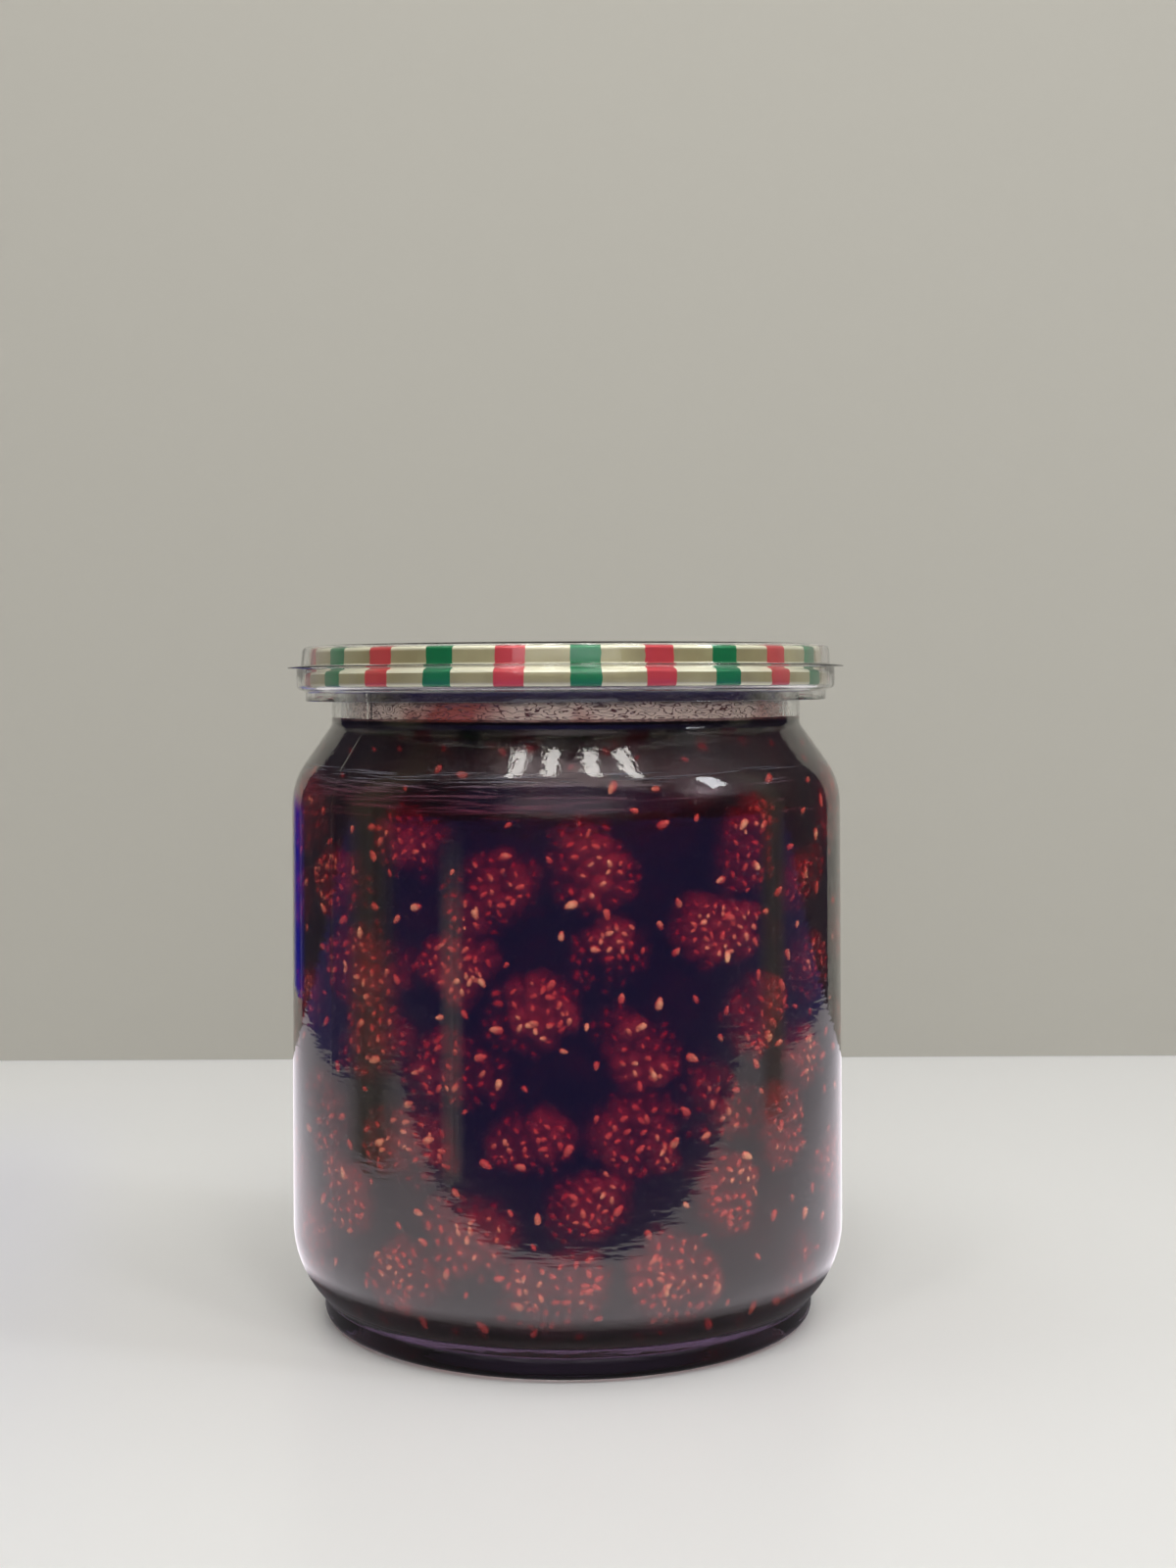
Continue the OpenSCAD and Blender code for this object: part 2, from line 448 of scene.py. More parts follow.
def shaded_by_depth(tree, colour, deep, clear_to, dark_from):
    group = shader(tree, "ShaderNodeGroup", node_tree=sunk)
    tree.links.new(colour, group.inputs["Color"])
    for key, value in (("Deep", deep), ("Clear To", clear_to), ("Dark From", dark_from)):
        group.inputs[key].default_value = value
    return group.outputs["Color"]


def pulp_surface(tree):
    return shader(tree, "ShaderNodeBsdfPrincipled", {
        "Base Color": mottled(tree, 0.009, (0.012, 0.004, 0.02, 1), (0.10, 0.006, 0.02, 1)),
        "Roughness": 0.6, "Specular IOR Level": 0.1}).outputs["BSDF"]


def lumpy(p):
    """The pulp's uneven face."""
    out = Vector((p.x, p.y, 0)).normalized()
    lump = noise.noise(p * 0.09) * 2.2 + noise.noise(p * 0.3) * 0.8
    return p + out * lump * min(1, Vector((p.x, p.y)).length / 10)


pulp_edge = inside(PULP_DEPTH, JAM_Z - 2, 2)
pulp_edge.append(Vector((0, pulp_edge[-1].y)))
pulp = finish_of("fruit_pulp", pulp_surface)
add_piece("fruit_pulp", revolved("fruit_pulp", divided(pulp_edge, 2), 128, lumpy), pulp,
          "berry_jam")

# ---------------------------------------------------------------------------------
# The berries: whole dark bramble berries, cooked soft, each a cluster of small round
# drupelets. They lie against the glass all round and up the jar, pressed flat on it.
# ---------------------------------------------------------------------------------
BERRY_DEPTH = 8.6
DRUPELET_R = 2.1
DRUPELET_GAP = 0.8
BERRIES_FROM = 35.6
BERRIES_UNDER_TOP = 7
BERRIES_OFF_FLOOR = 3


def geometry_tree(name, sizes):
    """A Geometry Nodes tree with the mesh in and out, and a named input for each size."""
    tree = bpy.data.node_groups.new(name, "GeometryNodeTree")
    tree.interface.new_socket("Geometry", in_out="INPUT", socket_type="NodeSocketGeometry")
    for label, value in sizes.items():
        kind = "NodeSocketInt" if isinstance(value, int) else "NodeSocketFloat"
        tree.interface.new_socket(label, in_out="INPUT", socket_type=kind)
    tree.interface.new_socket("Geometry", in_out="OUTPUT", socket_type="NodeSocketGeometry")
    return tree, tree.nodes.new("NodeGroupInput").outputs


def random_value(tree, seed, low, high):
    """A random number, or a vector of them, for each thing in turn."""
    vector = isinstance(low, tuple)
    kind = "FLOAT_VECTOR" if vector else "FLOAT"
    node = shader(tree, "FunctionNodeRandomValue", {"Seed": seed}, data_type=kind)
    node.inputs[0 if vector else 2].default_value = low
    node.inputs[1 if vector else 3].default_value = high
    return node.outputs[0 if vector else 1]


def distance_out(tree):
    """How far each point lies from the jar's axis, and the way outwards from it."""
    spot = shader(tree, "GeometryNodeInputPosition").outputs[0]
    level = shader(tree, "ShaderNodeVectorMath", {0: spot, 1: (1, 1, 0)}, operation="MULTIPLY")
    reach = shader(tree, "ShaderNodeVectorMath", {0: level.outputs[0]}, operation="LENGTH")
    outward = shader(tree, "ShaderNodeVectorMath", {0: level.outputs[0]}, operation="NORMALIZE")
    return reach.outputs["Value"], outward.outputs[0]


def finished_tree(tree, geometry, material):
    """The end of each tree: real faces, with their finish."""
    real = shader(tree, "GeometryNodeRealizeInstances", {"Geometry": geometry})
    painted = shader(tree, "GeometryNodeSetMaterial", {
        "Geometry": real.outputs[0], "Material": material})
    shader(tree, "NodeGroupOutput", {"Geometry": painted.outputs[0]})


def grown(name, mesh, tree, sizes):
    """The mesh that the tree makes from the guide mesh with those sizes."""
    guide = bpy.data.objects.new(name, mesh)
    bpy.context.scene.collection.objects.link(guide)
    modifier = guide.modifiers.new(name, "NODES")
    modifier.node_group = tree
    for item in tree.interface.items_tree:
        if item.in_out == "INPUT" and item.name in sizes:
            modifier[item.identifier] = sizes[item.name]
    bpy.context.view_layer.update()
    made = bpy.data.meshes.new_from_object(
        guide.evaluated_get(bpy.context.evaluated_depsgraph_get()))
    guide.modifiers.remove(modifier)
    bpy.data.objects.remove(guide)
    made.name = name
    return made


def kept_inside(mesh, gap):
    """What would reach the glass is pressed flat against it instead, a gap away."""
    edge = inside(gap, JAM_Z - 0.5, gap)
    heights = np.array([p.y for p in edge[1:]]) * MM
    radii = np.array([p.x for p in edge[1:]]) * MM
    co = np.empty(len(mesh.vertices) * 3, np.float32)
    mesh.vertices.foreach_get("co", co)
    co = co.reshape(-1, 3)
    co[:, 2] = np.clip(co[:, 2], heights.min(), heights.max())
    limit = np.interp(co[:, 2], heights, radii)
    r = np.hypot(co[:, 0], co[:, 1])
    over = r > limit
    co[over, :2] *= (limit[over] / r[over])[:, None]
    mesh.vertices.foreach_set("co", co.ravel())
    mesh.update()


def berry_surface(tree):
    flesh = mottled(tree, 0.008, (0.15, 0.020, 0.026, 1), (0.34, 0.060, 0.050, 1))
    return shader(tree, "ShaderNodeBsdfPrincipled", {
        # The flesh darkens with depth behind the glass: painted shade.
        "Base Color": shaded_by_depth(tree, flesh, (0.020, 0.003, 0.014, 1), 0.0424, 0.0378),
        "Roughness": 0.45, "Specular IOR Level": 0.2}).outputs["BSDF"]


berry_skin = finish_of("berry_skin", berry_surface)
berry_sizes = {"Berry Radius": 0.0071, "Spacing": 0.0116, "Squash": 0.0075, "Seed": 3}
berry_tree, size = geometry_tree("berries", berry_sizes)
ball = shader(berry_tree, "GeometryNodeMeshIcoSphere", {
    "Radius": size["Berry Radius"], "Subdivisions": 3})
places = shader(berry_tree, "GeometryNodeDistributePointsOnFaces", {
    "Mesh": size["Geometry"], "Distance Min": size["Spacing"], "Density Max": 60000.0,
    "Seed": size["Seed"]}, distribute_method="POISSON")
all_berries = shader(berry_tree, "GeometryNodeInstanceOnPoints", {
    "Points": places.outputs["Points"], "Instance": ball.outputs["Mesh"],
    "Rotation": random_value(berry_tree, 21, (0, 0, 0), (6.283, 6.283, 6.283)),
    "Scale": random_value(berry_tree, 31, (0.7, 0.7, 0.85), (1.05, 1.05, 1.25))})
real = shader(berry_tree, "GeometryNodeRealizeInstances", {"Geometry": all_berries.outputs[0]})
uneven = shader(berry_tree, "ShaderNodeTexNoise", {"Scale": 130.0, "Detail": 2.0})
centred = shader(berry_tree, "ShaderNodeVectorMath", {
    0: uneven.outputs["Color"], 1: (0.5, 0.5, 0.5)}, operation="SUBTRACT")
pushed = shader(berry_tree, "ShaderNodeVectorMath", {0: centred.outputs[0], 3: size["Squash"]},
                operation="SCALE")
soft = shader(berry_tree, "GeometryNodeSetPosition", {
    "Geometry": real.outputs[0], "Offset": pushed.outputs[0]})
finished_tree(berry_tree, soft.outputs[0], berry_skin)

berry_path = inside(BERRY_DEPTH, JAM_Z - BERRIES_UNDER_TOP, BERRIES_OFF_FLOOR)
guide = revolved("berry_guide", berry_path[1:] + [Vector((10, berry_path[-1].y))], 64)
berry_shapes = grown("berry_shapes", guide, berry_tree, berry_sizes)
kept_inside(berry_shapes, DRUPELET_R + DRUPELET_GAP)

drupelet_sizes = {"Drupelet Radius": DRUPELET_R * MM, "Shown From": BERRIES_FROM * MM}
drupelet_tree, size = geometry_tree("drupelets", drupelet_sizes)
drupelet = shader(drupelet_tree, "GeometryNodeMeshUVSphere", {
    "Radius": size["Drupelet Radius"], "Segments": 6, "Rings": 4})
near = shader(drupelet_tree, "FunctionNodeCompare", {
    0: distance_out(drupelet_tree)[0], 1: size["Shown From"]},
    data_type="FLOAT", operation="GREATER_THAN")
clusters = shader(drupelet_tree, "GeometryNodeInstanceOnPoints", {
    "Points": size["Geometry"], "Selection": near.outputs[0], "Instance": drupelet.outputs["Mesh"],
    "Rotation": random_value(drupelet_tree, 12, (0, 0, 0), (6.283, 6.283, 6.283)),
    "Scale": random_value(drupelet_tree, 11, 0.8, 1.12)})
finished_tree(drupelet_tree, clusters.outputs[0], berry_skin)
add_piece("whole_berries", grown("whole_berries", berry_shapes.copy(), drupelet_tree, drupelet_sizes),
          None, "berry_jam")

# ---------------------------------------------------------------------------------
# The seeds: small flat teardrops, cream to orange. Each drupelet has one just under
# its skin, and many have come loose and lie in the syrup next to the glass.
# ---------------------------------------------------------------------------------
SEED_LENGTH = 2.2
SEED_DEPTH = 0.62
SEED_GAP = 0.15
BERRY_SEED_SHARE = 0.78
BERRY_SEED_LEAN = 0.7
SKIN_PUSH = 1.02
STRAY_LEAN = 0.35
STRAYS_UNDER_TOP = 3
STRAYS_OFF_FLOOR = 2


def teardrop(tree, length):
    """One flat seed: a ball narrowed towards one end and thinned."""
    half = shader(tree, "ShaderNodeMath", {0: length, 1: 0.5}, operation="MULTIPLY").outputs[0]
    ball = shader(tree, "GeometryNodeMeshUVSphere", {"Radius": half, "Segments": 6, "Rings": 4})
    at = shader(tree, "ShaderNodeSeparateXYZ", {
        "Vector": shader(tree, "GeometryNodeInputPosition").outputs[0]})
    taper = shader(tree, "ShaderNodeMapRange", {
        "Value": at.outputs["Z"], "To Min": 0.80, "To Max": 0.40})
    back = shader(tree, "ShaderNodeMath", {0: half, 1: -1.0}, operation="MULTIPLY")
    tree.links.new(back.outputs[0], taper.inputs["From Min"])
    tree.links.new(half, taper.inputs["From Max"])
    narrow = shader(tree, "ShaderNodeMath", {
        0: at.outputs["X"], 1: taper.outputs[0]}, operation="MULTIPLY")
    thin = shader(tree, "ShaderNodeMath", {0: at.outputs["Y"], 1: 0.42}, operation="MULTIPLY")
    tear = shader(tree, "ShaderNodeCombineXYZ", {
        "X": narrow.outputs[0], "Y": thin.outputs[0], "Z": at.outputs["Z"]})
    return shader(tree, "GeometryNodeSetPosition", {
        "Geometry": ball.outputs["Mesh"], "Position": tear.outputs[0]}).outputs[0]


def facing_out(tree, lean):
    """A rotation that lays a seed's flat side to the glass, turned and leaned at random."""
    outward = distance_out(tree)[1]
    level = shader(tree, "FunctionNodeAlignRotationToVector", {"Vector": outward}, axis="Y")
    turn = random_value(tree, 41, (-lean, -3.14, -lean), (lean, 3.14, lean))
    return shader(tree, "FunctionNodeRotateRotation", {
        0: level.outputs[0], 1: turn}, rotation_space="LOCAL").outputs[0]


def seed_surface(tree):
    husk = mottled(tree, 0.0040, (0.62, 0.12, 0.07, 1), (0.97, 0.70, 0.33, 1), 0.50, 0.64)
    return shader(tree, "ShaderNodeBsdfPrincipled", {
        # The seeds darken with depth behind the glass: painted shade.
        "Base Color": shaded_by_depth(tree, husk, (0.36, 0.030, 0.030, 1), 0.0425, 0.0385),
        "Roughness": 0.4, "Specular IOR Level": 0.4}).outputs["BSDF"]


seed_coat = finish_of("seed_coat", seed_surface)
in_berry_sizes = {"Seed Length": SEED_LENGTH * MM * BERRY_SEED_SHARE, "Shown From": (BERRIES_FROM + 1) * MM,
                  "Push": DRUPELET_R * SKIN_PUSH * MM}
in_berry_tree, size = geometry_tree("seeds_in_berries", in_berry_sizes)
reach, outward = distance_out(in_berry_tree)
near = shader(in_berry_tree, "FunctionNodeCompare", {0: reach, 1: size["Shown From"]},
              data_type="FLOAT", operation="GREATER_THAN")
seeds = shader(in_berry_tree, "GeometryNodeInstanceOnPoints", {
    "Points": size["Geometry"], "Selection": near.outputs[0],
    "Instance": teardrop(in_berry_tree, size["Seed Length"]),
    "Rotation": facing_out(in_berry_tree, BERRY_SEED_LEAN),
    "Scale": random_value(in_berry_tree, 51, 0.5, 1.0)})
out_by = shader(in_berry_tree, "ShaderNodeVectorMath", {0: outward, 3: size["Push"]}, operation="SCALE")
skin_deep = shader(in_berry_tree, "GeometryNodeTranslateInstances", {
    "Instances": seeds.outputs[0], "Translation": out_by.outputs[0]})
skin_deep.inputs["Local Space"].default_value = False
finished_tree(in_berry_tree, skin_deep.outputs[0], seed_coat)
add_piece("berry_seeds", grown("berry_seeds", berry_shapes.copy(), in_berry_tree, in_berry_sizes),
          None, "berry_jam")

stray_sizes = {"Seed Length": SEED_LENGTH * MM, "Spacing": 0.0038, "Seed": 19}
stray_tree, size = geometry_tree("stray_seeds", stray_sizes)
spots = shader(stray_tree, "GeometryNodeDistributePointsOnFaces", {
    "Mesh": size["Geometry"], "Distance Min": size["Spacing"], "Density Max": 45000.0,
    "Seed": size["Seed"]}, distribute_method="POISSON")
strays = shader(stray_tree, "GeometryNodeInstanceOnPoints", {
    "Points": spots.outputs["Points"], "Instance": teardrop(stray_tree, size["Seed Length"]),
    "Rotation": facing_out(stray_tree, STRAY_LEAN), "Scale": random_value(stray_tree, 52, 0.45, 1.05)})
finished_tree(stray_tree, strays.outputs[0], seed_coat)
stray_path = inside(SEED_DEPTH, JAM_Z - STRAYS_UNDER_TOP, STRAYS_OFF_FLOOR)
stray_guide = revolved("stray_guide", stray_path[1:] + [Vector((10, stray_path[-1].y))], 64)
stray_seeds = grown("stray_seeds", stray_guide, stray_tree, stray_sizes)
kept_inside(stray_seeds, SEED_GAP)
add_piece("stray_seeds", stray_seeds, None, "berry_jam")

# ---------------------------------------------------------------------------------
# The tin lid: thin tinplate in pale gold lacquer, pressed with a sunk panel and
# rings, crimped in under the bead. Green and red stripes are printed round its skirt.
# ---------------------------------------------------------------------------------
TIN_T = 0.4
PLUG_GAP = 0.4
PANEL_DEPTH = 2.6
RING_RISE = 0.7
GROOVE_W = 2
LAND_W = 6.1
FLAT_W = 5
CRIMP_W = 0.95
CRIMP_H = 3.1
CRIMP_TURN = 1.9
STRIPE_PERIOD = 30
STRIPE_W = 6.1
GREEN_AT = 4.2
RED_AT = GREEN_AT + STRIPE_PERIOD / 2

LID_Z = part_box("tin_lid")[1].z / MM
CRIMP_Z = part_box("tin_lid")[0].z / MM
CRIMP_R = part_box("tin_lid")[1].x / MM
SKIRT_R = CRIMP_R - CRIMP_W
PLUG_R = BORE_R - PLUG_GAP - TIN_T
TIN_EDGE = TIN_T + 0.3
RING_EDGE = TIN_T + RING_RISE * 0.3


def sheet(path, thickness):
    """The closed outline of a sheet that lies to the right of a path."""
    ways = [(b - a).normalized() for a, b in zip(path, path[1:])]
    sides = [Vector((w.y, -w.x)) for w in ways]
    back = []
    for i, p in enumerate(path):
        a, b = sides[max(i - 1, 0)], sides[min(i, len(sides) - 1)]
        back.append(p + (a + b) * thickness / (1 + a.dot(b)))
    back[0].x = max(back[0].x, 0)
    return path + back[::-1]


panel_z = LID_Z - PANEL_DEPTH
groove_r = PLUG_R - GROOVE_W
land_r = groove_r - RING_RISE
flat_r = land_r - LAND_W - RING_RISE
round_r = flat_r - FLAT_W - RING_RISE
lid_path = rounded([
    (0, panel_z + RING_RISE),
    (round_r, panel_z + RING_RISE, RING_EDGE),
    (round_r + RING_RISE, panel_z, RING_EDGE),
    (flat_r, panel_z, RING_EDGE),
    (flat_r + RING_RISE, panel_z + RING_RISE, RING_EDGE),
    (land_r, panel_z + RING_RISE, RING_EDGE),
    (groove_r, panel_z, RING_EDGE),
    (PLUG_R, panel_z, TIN_EDGE),
    (PLUG_R, LID_Z, TIN_EDGE),
    (SKIRT_R, LID_Z, TIN_EDGE),
    (SKIRT_R, CRIMP_Z + CRIMP_H, TIN_EDGE / 2),
    (CRIMP_R, CRIMP_Z + CRIMP_H - CRIMP_W / 2, TIN_EDGE),
    (CRIMP_R, CRIMP_Z, TIN_EDGE),
    (CRIMP_R - TIN_T - CRIMP_TURN, CRIMP_Z)], 6)

# Stripe: a mask that is one inside each stripe, by the angle round the lid.
stripe, given, result = new_group(
    "stripe", {"Middle": 0.0, "Width": 6.0, "Period": 30.0}, {"Mask": "NodeSocketFloat"})
where = shader(stripe, "ShaderNodeTexCoord").outputs["Object"]
xyz = shader(stripe, "ShaderNodeSeparateXYZ", {"Vector": where})
front = shader(stripe, "ShaderNodeMath", {0: xyz.outputs["Y"], 1: -1.0}, operation="MULTIPLY")
angle = shader(stripe, "ShaderNodeMath", {0: xyz.outputs["X"], 1: front.outputs[0]}, operation="ARCTAN2")
degrees = shader(stripe, "ShaderNodeMath", {0: angle.outputs[0]}, operation="DEGREES")
fray = shader(stripe, "ShaderNodeTexNoise", {"Vector": where, "Scale": 900.0, "Detail": 1.0})
frayed = shader(stripe, "ShaderNodeMath", {
    0: fray.outputs["Fac"], 1: 0.5, 2: degrees.outputs[0]}, operation="MULTIPLY_ADD")
half = shader(stripe, "ShaderNodeMath", {0: given.outputs["Width"], 1: 0.5}, operation="MULTIPLY")
edge = shader(stripe, "ShaderNodeMath", {
    0: given.outputs["Middle"], 1: half.outputs[0]}, operation="SUBTRACT")
from_edge = shader(stripe, "ShaderNodeMath", {0: frayed.outputs[0], 1: edge.outputs[0]}, operation="SUBTRACT")
turned = shader(stripe, "ShaderNodeMath", {
    0: from_edge.outputs[0], 1: given.outputs["Period"]}, operation="FLOORED_MODULO")
within = shader(stripe, "ShaderNodeMath", {
    0: turned.outputs[0], 1: given.outputs["Width"]}, operation="LESS_THAN")
stripe.links.new(within.outputs[0], result.inputs["Mask"])


def striped(tree, middle, mask):
    group = shader(tree, "ShaderNodeGroup", node_tree=stripe)
    for key, value in (("Middle", middle), ("Width", STRIPE_W), ("Period", STRIPE_PERIOD)):
        group.inputs[key].default_value = value
    return shader(tree, "ShaderNodeMath", {
        0: group.outputs["Mask"], 1: mask}, operation="MULTIPLY").outputs[0]


def over(tree, mask, under, ink):
    """One colour printed over another where the mask is one."""
    node = shader(tree, "ShaderNodeMix", data_type="RGBA")
    for index, value in ((0, mask), (6, under), (7, ink)):
        if isinstance(value, bpy.types.NodeSocket):
            tree.links.new(value, node.inputs[index])
        else:
            node.inputs[index].default_value = value
    return node.outputs[2]


def lacquered(tree):
    where = shader(tree, "ShaderNodeTexCoord").outputs["Object"]
    xyz = shader(tree, "ShaderNodeSeparateXYZ", {"Vector": where})
    x2 = shader(tree, "ShaderNodeMath", {0: xyz.outputs["X"], 1: xyz.outputs["X"]}, operation="MULTIPLY")
    r2 = shader(tree, "ShaderNodeMath", {
        0: xyz.outputs["Y"], 1: xyz.outputs["Y"], 2: x2.outputs[0]}, operation="MULTIPLY_ADD")
    printed = shader(tree, "ShaderNodeMath", {
        0: r2.outputs[0], 1: ((PLUG_R + 1.2) * MM) ** 2}, operation="GREATER_THAN").outputs[0]
    gold = mottled(tree, 0.006, (0.36, 0.31, 0.16, 1), (0.44, 0.39, 0.21, 1))
    z = xyz.outputs["Z"]
    step_z = CRIMP_Z + CRIMP_H
    # The pale cream bands at the top edge, just above the step and at the bottom edge are painted highlights,
    # drawn by height for the gleam on the pressed roundings.
    top_edge_highlight = ramp(tree, z, (LID_Z - 0.75) * MM, (LID_Z - 0.35) * MM, 0.0, 1.0)
    under_step_highlight = ramp(tree, z, (step_z + 0.7) * MM, (step_z + 0.1) * MM, 0.0, 1.0)
    above_band = shader(tree, "ShaderNodeMath", {0: z, 1: (step_z - 0.85) * MM}, operation="GREATER_THAN")
    step_edge_highlight = shader(tree, "ShaderNodeMath", {
        0: under_step_highlight, 1: above_band.outputs[0]}, operation="MULTIPLY").outputs[0]
    low_edge_highlight = ramp(tree, z, (CRIMP_Z + 0.8) * MM, (CRIMP_Z + 0.3) * MM, 0.0, 1.0)
    # Each painted highlight lays pale cream over the gold.
    for edge in (top_edge_highlight, step_edge_highlight, low_edge_highlight):
        gold = over(tree, edge, gold, (0.86, 0.82, 0.62, 1))
    with_green = over(tree, striped(tree, GREEN_AT, printed), gold, (0.005, 0.19, 0.06, 1))
    colour = over(tree, striped(tree, RED_AT, printed), with_green, (0.60, 0.055, 0.06, 1))
    return shader(tree, "ShaderNodeBsdfPrincipled", {
        "Base Color": colour, "Metallic": 0.3, "Roughness": 0.28,
        "Coat Weight": 0.8, "Coat Roughness": 0.06,
        "Normal": rippled(tree, 0.003, 1.0, 0.00002)}).outputs["BSDF"]


tin = finish_of("lacquered_tin", lacquered)
add_piece("striped_lid", revolved("striped_lid", divided(sheet(lid_path, TIN_T), 3)), tin,
          "lacquered_tin", "tin_lid")

# ---------------------------------------------------------------------------------
# The overcap: a thin clear moulding that presses over the tin lid, so that an opened
# jar can be shut again. It has a leaning step, a sharp brim, a bulge and a lip.
# ---------------------------------------------------------------------------------
CAP_T = 0.45
CAP_GAP = 0.55
CAP_CLEAR = 0.06
LIP_GRIP = 0.9
LIP_H = 1.7
CAP_LEAN = tan(radians(5))

CAP_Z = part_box("clear_cap")[1].z / MM
BRIM_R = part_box("clear_cap")[1].x / MM
BULGE_R = CRIMP_R + CAP_GAP + CAP_T
BRIM_Z = CRIMP_Z + CRIMP_H + CAP_T
STEP_R = SKIRT_R + CAP_GAP + CAP_T
STEP_BASE_R = STEP_R + (CAP_Z - BRIM_Z) * CAP_LEAN
LIP_R = CRIMP_R - LIP_GRIP + CAP_T
CAP_EDGE = (CAP_GAP + LIP_GRIP - CAP_T) * 0.45
LIP_Z = CRIMP_Z - CAP_T

cap_outside = rounded([
    (0, CAP_Z),
    (STEP_R, CAP_Z, CAP_T + CAP_EDGE),
    (STEP_BASE_R, BRIM_Z, 0.15),
    (BRIM_R, BRIM_Z - CAP_T / 2),
    (BRIM_R, BRIM_Z - CAP_T),
    (BULGE_R, BRIM_Z - CAP_T, 0.15),
    (BULGE_R, LIP_Z, CAP_T + CAP_EDGE),
    (LIP_R, LIP_Z, CAP_EDGE),
    (LIP_R, LIP_Z - LIP_H, 0.15),
    (LIP_R - CAP_T, LIP_Z - LIP_H, 0.15),
    (LIP_R - CAP_T, CRIMP_Z, CAP_T + CAP_EDGE),
    (BULGE_R - CAP_T, CRIMP_Z, CAP_EDGE),
    (BULGE_R - CAP_T, BRIM_Z - CAP_T, 0.1),
    (STEP_BASE_R - CAP_T, BRIM_Z - CAP_T, 0.1),
    (STEP_R - CAP_T, CAP_Z - CAP_T + CAP_CLEAR, CAP_EDGE),
    (0, CAP_Z - CAP_T + CAP_CLEAR)], 6)


def clear_plastic(tree):
    wavy = rippled(tree, 0.005, 0.5, 0.00004)
    plastic = shader(tree, "ShaderNodeBsdfPrincipled", {
        "Base Color": (0.98, 0.985, 0.985, 1), "Roughness": 0.02, "IOR": 1.49,
        "Transmission Weight": 1.0, "Normal": wavy})
    return lets_light_in(tree, plastic.outputs["BSDF"], (0.93, 0.94, 0.94, 1))


plastic = finish_of("clear_plastic", clear_plastic)
add_piece("clear_overcap", revolved("clear_overcap", divided(cap_outside, 3)), plastic,
          "clear_plastic", "clear_cap")

# ---------------------------------------------------------------------------------
# The smear in the neck: jam froth that splashed up the bore when the jar was filled and
# dried there, in pink wrinkles above the jam and as a brown film up to the lid's panel.
# ---------------------------------------------------------------------------------
SMEAR_TOP = panel_z - 0.4
FILM_FROM = 98.8
FILM_FULL = 99.8


def wrinkled(p):
    around = Vector((p.x, p.y, 0)).normalized()
    r = Vector((p.x, p.y)).length
    free = max(0.0, min(1.0, (BORE_R - 0.05 - r) / 0.5))
    fold = noise.turbulence(p * 0.55, 3, False) * 1.1 + noise.noise(p * 2.2) * 0.35
    return p - around * abs(fold) * free


def smear_surface(tree):
    """Pink where it is thick, redder in parts, with dark lines of painted shade in the creases of fine level
    wrinkles, and only a brown film near its top."""
    froth = mottled(tree, 0.024, (0.50, 0.11, 0.08, 1), (0.88, 0.66, 0.58, 1), 0.40, 0.50)
    wrinkle = shader(tree, "ShaderNodeGroup", node_tree=ripple)
    for key, value in (("Size", 0.0028), ("Stretch", 2.8), ("Detail", 1.5)):
        wrinkle.inputs[key].default_value = value
    level = shader(tree, "ShaderNodeMath", {
        0: wrinkle.outputs["Height"], 1: 14.0}, operation="MULTIPLY")
    fold = shader(tree, "ShaderNodeMath", {0: level.outputs[0], 1: 1.0}, operation="PINGPONG")
    # Dark lines along the wrinkles' creases are painted shade.
    crease_shade = ramp(tree, fold.outputs[0], 0.10, 0.38, 1.0, 0.0)
    crease_shaded = over(tree, crease_shade, froth, (0.13, 0.04, 0.035, 1))
    z = shader(tree, "ShaderNodeSeparateXYZ", {
        "Vector": shader(tree, "ShaderNodeTexCoord").outputs["Object"]}).outputs["Z"]
    ragged = shader(tree, "ShaderNodeMath", {
        0: wrinkle.outputs["Height"], 1: 0.0012, 2: z}, operation="MULTIPLY_ADD")
    film = ramp(tree, ragged.outputs[0], FILM_FROM * MM, FILM_FULL * MM, 0.0, 1.0)
    return shader(tree, "ShaderNodeBsdfPrincipled", {
        "Base Color": over(tree, film, crease_shaded, (0.075, 0.048, 0.040, 1)),
        "Roughness": 0.25, "Specular IOR Level": 0.6,
        "Normal": rippled(tree, 0.0016, 2.6, 0.0005)}).outputs["BSDF"]


smear = finish_of("dried_froth", smear_surface)
smear_edge = [
    Vector((BORE_R - 0.04, JAM_Z + 0.2)),
    Vector((BORE_R - 0.04, SMEAR_TOP)),
    Vector((BORE_R - 0.5, SMEAR_TOP)),
    Vector((BORE_R - 0.9, JAM_Z + 0.2))]
add_piece("neck_smear", revolved("neck_smear", divided(smear_edge, 0.5), 320, wrinkled),
          smear, "berry_jam")

# ---------------------------------------------------------------------------------
# The studio: a plain pale table, which the glass mirrors as if it ended a hand's width in
# front of the jar, a pale wall, a row of small lamps above the front, and a dim room
# behind the camera with upright things in it that only the glass mirrors.
# ---------------------------------------------------------------------------------
UNDER_FOOT = -0.0002
TABLE_FRONT = -0.114
TABLE_SIDES = (-0.26, 0.30)
WALL_Y = 0.22
MIRRORED_WALL = (-0.22, 0.26)
ROOM_COLOUR = (0.08, 0.075, 0.30, 1)
BACK_ROOM = (0.035, 0.030, 0.055, 1)

scene = bpy.context.scene
scene.view_settings.view_transform = "Standard"
lens = bpy.data.cameras.new("camera")
lens.sensor_width = 36
lens.lens = 47.4
lens.shift_x = 0.0143
lens.shift_y = -0.0647
camera = bpy.data.objects.new("camera", lens)
camera.location = (0, -0.340, 0.1019)
camera.rotation_euler = (pi / 2, radians(0.25), 0)
scene.collection.objects.link(camera)
scene.camera = camera


def flat_card(name, corners, material):
    mesh = bpy.data.meshes.new(name)
    mesh.from_pydata(corners, [], [(0, 1, 2, 3)])
    mesh.materials.append(material)
    card = bpy.data.objects.new(name, mesh)
    scene.collection.objects.link(card)
    return card


